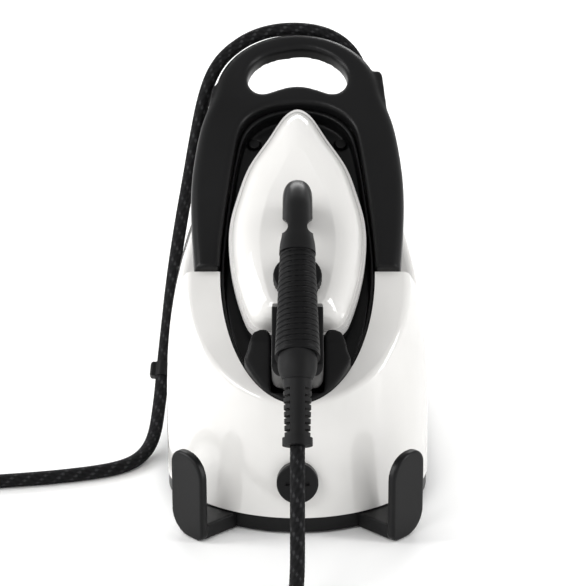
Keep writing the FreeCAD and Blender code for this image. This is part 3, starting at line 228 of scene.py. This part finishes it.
def apply_modifiers(piece):
    """Bake the modifiers into the mesh."""
    bpy.context.view_layer.update()
    graph = bpy.context.evaluated_depsgraph_get()
    mesh = bpy.data.meshes.new_from_object(piece.evaluated_get(graph))
    piece.modifiers.clear()
    piece.data = mesh


def rounded_copy(name, source, slot, body, voxel, passes, keep=0.5, angle=50):
    """A softened skin over a hard-edged CAD node: remeshed finely, smoothed and thinned again."""
    piece = bpy.data.objects.new(name, nodes[source].data.copy())
    scene.collection.objects.link(piece)
    remesh = piece.modifiers.new("remesh", "REMESH")
    remesh.mode = "VOXEL"
    remesh.voxel_size = voxel
    ease = piece.modifiers.new("ease", "SMOOTH")
    ease.factor = 0.5
    ease.iterations = passes
    thin = piece.modifiers.new("thin", "DECIMATE")
    thin.ratio = keep
    apply_modifiers(piece)
    piece.data.materials.clear()
    piece.data.materials.append(MATERIALS[slot])
    smooth_by_angle(piece, angle)
    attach(piece, body)
    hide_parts(source)
    return piece


# ---------------------------------------------------------------- softened mouldings
# Each row: the skin, the CAD node it stands for, its slot and body, the voxel in mm, smoothing passes.
ROUNDED = (
    ("frame_moulding", "handle_frame", "black_plastic", "generator", 1.3, 14),
    ("tray_moulding", "rest_tray", "black_plastic", "generator", 1.0, 22),
    ("left_cord_hook", "cord_hook_left", "black_plastic", "generator", 0.8, 6),
    ("right_cord_hook", "cord_hook_right", "black_plastic", "generator", 0.8, 6),
    ("heel_moulding", "heel_housing", "black_plastic", "iron", 0.6, 6),
    ("iron_moulding", "iron_body", "white_shell", "iron", 0.6, 8),
)
for name, source, slot, body, voxel, passes in ROUNDED:
    rounded_copy(name, source, slot, body, voxel * MM, passes)


# ---------------------------------------------------------------- the handle's head
# Sections from the post's foot to the tongue over the grip: the outer and inner edge of the
# handle in the deck's frame as (s, n) pairs, and its half-width.
HANDLE_SECTIONS = [
    ((160, 26), (137, 26), 11.3), ((161, 44), (136.5, 40), 11.3), ((159.5, 60), (133, 50), 11.3),
    ((153, 74), (127, 57.5), 11.3), ((142, 84), (119, 61.5), 11.3), ((127, 90), (112, 64), 11.3),
    ((112, 92), (105, 65), 11.3), ((98, 92.6), (97, 65), 11.8), ((89, 93.4), (87, 64.8), 13.2),
    ((78, 94.1), (84, 66), 13.6),
]
SECTION_POWER = 2.3
BITE = (14.2, 107.0, 79.0, 7.0)     # across, up the slope, out of the deck, radius
VIEW_SLANT = 0.674                  # the bites run aslant through the neck


def smooth_columns(rows, count):
    """A Catmull-Rom curve through the rows of a table."""
    rows = np.array(rows, float)
    padded = np.vstack([2 * rows[0] - rows[1], rows, 2 * rows[-1] - rows[-2]])
    out = []
    for u in np.linspace(0, len(rows) - 1, count):
        i = min(int(u), len(rows) - 2)
        t = u - i
        a, b, c, d = padded[i:i + 4]
        out.append(0.5 * (2 * b + (c - a) * t + (2 * a - 5 * b + 4 * c - d) * t ** 2
                          + (3 * b - a - 3 * c + d) * t ** 3))
    return np.array(out)


def superellipse(angle, power):
    c, s = math.cos(angle), math.sin(angle)
    return (math.copysign(abs(c) ** (2 / power), c), math.copysign(abs(s) ** (2 / power), s))


def grid_faces(rings, around, caps=True):
    faces = []
    for i in range(rings - 1):
        for k in range(around):
            a, b = i * around + k, i * around + (k + 1) % around
            faces.append((a, b, b + around, a + around))
    if caps:
        faces.append(tuple(range(around))[::-1])
        faces.append(tuple((rings - 1) * around + k for k in range(around)))
    return faces


def make_handle_head():
    around, rings = 72, 150
    table = smooth_columns([(*outer, *inner, half) for outer, inner, half in HANDLE_SECTIONS], rings)
    bite_x, bite_s, bite_n, bite_radius = BITE
    verts = []
    for s0, n0, s1, n1, half in table:
        for k in range(around):
            across, up = superellipse(2 * math.pi * k / around, SECTION_POWER)
            x = half * across
            s = (s0 + s1) / 2 + (s0 - s1) / 2 * up
            n = (n0 + n1) / 2 + (n0 - n1) / 2 * up
            off = s - (bite_s - (n - bite_n) * VIEW_SLANT)
            if abs(off) < bite_radius:
                limit = bite_x - math.sqrt(bite_radius ** 2 - off ** 2)
                x = max(-limit, min(limit, x))
            verts.append(deck(x, s, n))
    head = new_object("handle_head", verts, grid_faces(rings, around), "black_plastic")
    smooth_by_angle(head, 35)
    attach(head, "iron")
    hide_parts("handle_core")


make_handle_head()

# ---------------------------------------------------------------- the grip's ribbed sleeve
GRIP_FRONT, GRIP_END, GRIP_AXIS = 83.8, -8.0, 79.0
GRIP_HALF_FRONT, GRIP_HALF_REAR, GRIP_HEIGHT = 13.0, 16.5, 14.0
GRIP_RIBS = 20
RIB_DEPTH = 1.2
RIB_SLANT = 2.2             # each rib leans this far down the slope from left to right


def make_grip_sleeve():
    """A rubber sleeve with rounded ribs that run a little aslant."""
    around = 72
    rings = GRIP_RIBS * 10 + 1
    verts = []
    for i in range(rings):
        share = i / (rings - 1)
        s = GRIP_FRONT + (GRIP_END - GRIP_FRONT) * share
        half = GRIP_HALF_FRONT + (GRIP_HALF_REAR - GRIP_HALF_FRONT) * share
        for k in range(around):
            across, up = superellipse(2 * math.pi * k / around, 2.15)
            phase = (share + RIB_SLANT * across / 2 / (GRIP_FRONT - GRIP_END)) * GRIP_RIBS
            groove = max(0.0, 1 - abs((phase % 1.0) - 0.5) * 5.5) ** 0.7
            fade = min(1.0, 12 * share, 12 * (1 - share))
            inset = RIB_DEPTH * groove * fade
            verts.append(deck((half - inset) * across, s, GRIP_AXIS + (GRIP_HEIGHT - inset) * up))
    sleeve = new_object("grip_ribbed", verts, grid_faces(rings, around), "soft_grip")
    smooth_by_angle(sleeve, 60)
    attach(sleeve, "iron")
    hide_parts("grip_sleeve")


make_grip_sleeve()

# ---------------------------------------------------------------- the steam hose
HOSE_RADIUS = 5.4
HOSE_EXIT = (57.0, 92.0, 205.0)
ARCH = [(57.5, 319.0, -25.0), (47.0, 343.0, -8.0), (25.0, 357.3, 0.0), (-6.0, 360.8, 2.0),
        (-35.0, 353.8, 2.0), (-58.0, 335.3, 1.0), (-70.0, 314.5, 0.0)]
DROP = [(-77.3, 68.0, 266.0), (-83.2, 62.0, 237.0), (-89.6, 60.0, 201.0), (-97.6, 58.0, 158.0),
        (-104.8, 52.0, 111.0), (-108.8, 40.0, 75.0), (-111.1, 20.0, 53.6), (-113.3, -10.0, 28.7),
        (-116.5, -37.0, 10.5), (-125.0, -63.0, 5.8), (-140.0, -81.0, HOSE_RADIUS),
        (-165.0, -92.0, HOSE_RADIUS), (-205.0, -102.0, HOSE_RADIUS)]
FLOOR = [(-256.0, -110.0), (-307.0, -134.0), (-343.0, -176.0), (-354.0, -229.0), (-345.0, -285.0),
         (-316.0, -334.0), (-272.0, -371.0), (-220.0, -396.0), (-163.0, -409.0), (-106.0, -411.0),
         (-56.0, -399.0), (-20.0, -375.0)]
RISE = [(-3.0, -342.0, 8.0), (0.0, -314.0, 27.0), (0.0, -300.0, 53.0), (0.0, -289.0, 82.0)]
RELIEF_END = (0.0, -270.7, 109.6)
AROUND = 48
STRANDS = 12
STEP = 0.0011              # distance between the tube's rings
LAY = 0.040                # length of one turn of a yarn
BRAID_DEPTH = 0.00035
UNDER = 0.45               # how far a yarn stands up where it passes under another
LIGHT_YARN = 0.9           # lightness of every fourth yarn where it lies on top
DIM_YARN = 0.12            # and of every second of the others
BEND_START = 0.42          # the weights along the hose begin to rise this far from its end
BEND_LENGTH = 0.40         # and reach full weight after this length


def hose_route():
    points = [Vector(HOSE_EXIT) * MM, Vector((58.0, 93.0, 240.0)) * MM]
    points += [deck(*p) for p in ARCH]
    points += [Vector(p) * MM for p in DROP]
    points += [Vector((x, y, HOSE_RADIUS)) * MM for x, y in FLOOR]
    points += [Vector(p) * MM for p in RISE]
    return points + [Vector(RELIEF_END) * MM]


def spline_points(route):
    """The route's smooth line: points read from a NURBS spline with the route as its control points."""
    curve = bpy.data.curves.new("route", "CURVE")
    curve.dimensions = "3D"
    spline = curve.splines.new("NURBS")
    spline.points.add(len(route) - 1)
    for point, place in zip(spline.points, route):
        point.co = (*place, 1)
    spline.order_u = 3
    spline.use_endpoint_u = True
    spline.resolution_u = 24
    holder = bpy.data.objects.new("route", curve)
    scene.collection.objects.link(holder)
    bpy.context.view_layer.update()
    line = bpy.data.meshes.new_from_object(holder.evaluated_get(bpy.context.evaluated_depsgraph_get()))
    points = [v.co.copy() for v in line.vertices]
    bpy.data.objects.remove(holder)
    return points


def even_points(points, step):
    """The same line in equal steps, with each point's distance along it."""
    array = np.array(points)
    lengths = np.concatenate([[0], np.cumsum(np.linalg.norm(np.diff(array, axis=0), axis=1))])
    count = int(lengths[-1] / step)
    along = np.linspace(0, lengths[-1], count + 1)
    return np.stack([np.interp(along, lengths, array[:, i]) for i in range(3)], axis=1), along


def make_hose():
    """A braided tube: yarns of two directions pass over and under each other."""
    line, along = even_points(spline_points(hose_route()), STEP)
    tangents = np.gradient(line, axis=0)
    tangents /= np.linalg.norm(tangents, axis=1)[:, None]
    side = np.array((1.0, 0.0, 0.0))
    verts = []
    flecks = []
    for place, tangent, distance in zip(line, tangents, along):
        side = side - tangent * side.dot(tangent)
        side /= np.linalg.norm(side)
        up = np.cross(tangent, side)
        for k in range(AROUND):
            angle = 2 * math.pi * k / AROUND
            left = STRANDS * (k / AROUND + distance / LAY)
            right = STRANDS * (k / AROUND - distance / LAY)
            over_left = (math.floor(left) + math.floor(right)) % 2 == 0
            hump_left = math.sin(math.pi * (left % 1.0)) ** 0.5
            hump_right = math.sin(math.pi * (right % 1.0)) ** 0.5
            left_share, right_share = (1.0, UNDER) if over_left else (UNDER, 1.0)
            height = max(hump_left * left_share, hump_right * right_share)
            radius = HOSE_RADIUS * MM - BRAID_DEPTH * (1 - height)
            verts.append(place + radius * (math.cos(angle) * side + math.sin(angle) * up))
            yarn = math.floor(left) if over_left else math.floor(right)
            flecks.append(LIGHT_YARN if over_left and yarn % 4 == 0 else DIM_YARN * (yarn % 2))
    hose = new_object("hose_braided", verts, grid_faces(len(line), AROUND), "hose_braid")
    mark = hose.data.attributes.new("fleck", "FLOAT", "POINT")
    mark.data.foreach_set("value", np.array(flecks, np.float32))
    hose.data.shade_smooth()
    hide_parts("steam_hose")
    return hose, line, along


hose, hose_line, hose_along = make_hose()
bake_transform(hose)
# Weights that run along the hose, rising smoothly over its last stretch; they are not applied to the hose.
weights = np.clip((hose_along - (hose_along[-1] - BEND_START)) / BEND_LENGTH, 0, 1)
weights = weights * weights * (3 - 2 * weights)

# ---------------------------------------------------------------- stage, light and camera
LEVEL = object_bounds()[0][2]


def make_floor():
    size = 6.0
    floor = bpy.data.objects.new("floor", bpy.data.meshes.new("floor"))
    corners = [(-size, -size, LEVEL), (size, -size, LEVEL), (size, size, LEVEL), (-size, size, LEVEL)]
    floor.data.from_pydata(corners, [], [(0, 1, 2, 3)])
    material = new_material("floor", (0.95, 0.95, 0.945), 0.6)[0]
    floor.data.materials.append(material)
    scene.collection.objects.link(floor)
    return floor


def make_light(name, place, aim, width, height, watts):
    data = bpy.data.lights.new(name, "AREA")
    data.shape = "RECTANGLE"
    data.size = width
    data.size_y = height
    data.energy = watts
    light = bpy.data.objects.new(name, data)
    light.location = place
    light.rotation_euler = (Vector(aim) - Vector(place)).to_track_quat("-Z", "Y").to_euler()
    scene.collection.objects.link(light)
    return light


def make_world():
    """A studio that is bright round the horizon and softer overhead."""
    world = bpy.data.worlds.new("studio")
    world.use_nodes = True
    tree = world.node_tree
    coordinates = tree.nodes.new("ShaderNodeTexCoord")
    split = tree.nodes.new("ShaderNodeSeparateXYZ")
    ramp = tree.nodes.new("ShaderNodeValToRGB")
    ramp.color_ramp.elements[0].position = 0.12
    ramp.color_ramp.elements[0].color = (0.92, 0.92, 0.92, 1)
    ramp.color_ramp.elements[1].position = 0.70
    ramp.color_ramp.elements[1].color = (0.55, 0.55, 0.55, 1)
    tree.links.new(coordinates.outputs["Generated"], split.inputs["Vector"])
    tree.links.new(split.outputs["Z"], ramp.inputs["Fac"])
    tree.links.new(ramp.outputs["Color"], tree.nodes["Background"].inputs["Color"])
    scene.world = world


def make_camera():
    data = bpy.data.cameras.new("camera")
    data.sensor_width = 36.0
    data.lens = 152.1
    data.shift_x = -0.0145
    data.shift_y = -0.0526
    camera = bpy.data.objects.new("camera", data)
    camera.location = (0.0, -1.8794, 0.8340)
    camera.rotation_euler = (math.radians(70.0), 0, 0)
    scene.collection.objects.link(camera)
    scene.camera = camera


scene.view_settings.view_transform = "Standard"
make_world()
make_camera()
lights = [
    make_light("key_softbox", (-1.1, -1.5, 1.5), (0, 0, 0.15), 0.9, 0.9, 14),
    make_light("left_strip", (-1.4, -0.2, 0.7), (0, 0, 0.15), 0.5, 1.4, 14),
    make_light("right_strip", (1.4, -0.5, 0.7), (0, 0, 0.15), 0.25, 1.4, 10),
    make_light("back_softbox", (0.0, 1.6, 1.2), (0, 0, 0.1), 1.6, 0.6, 20),
]
make_floor()
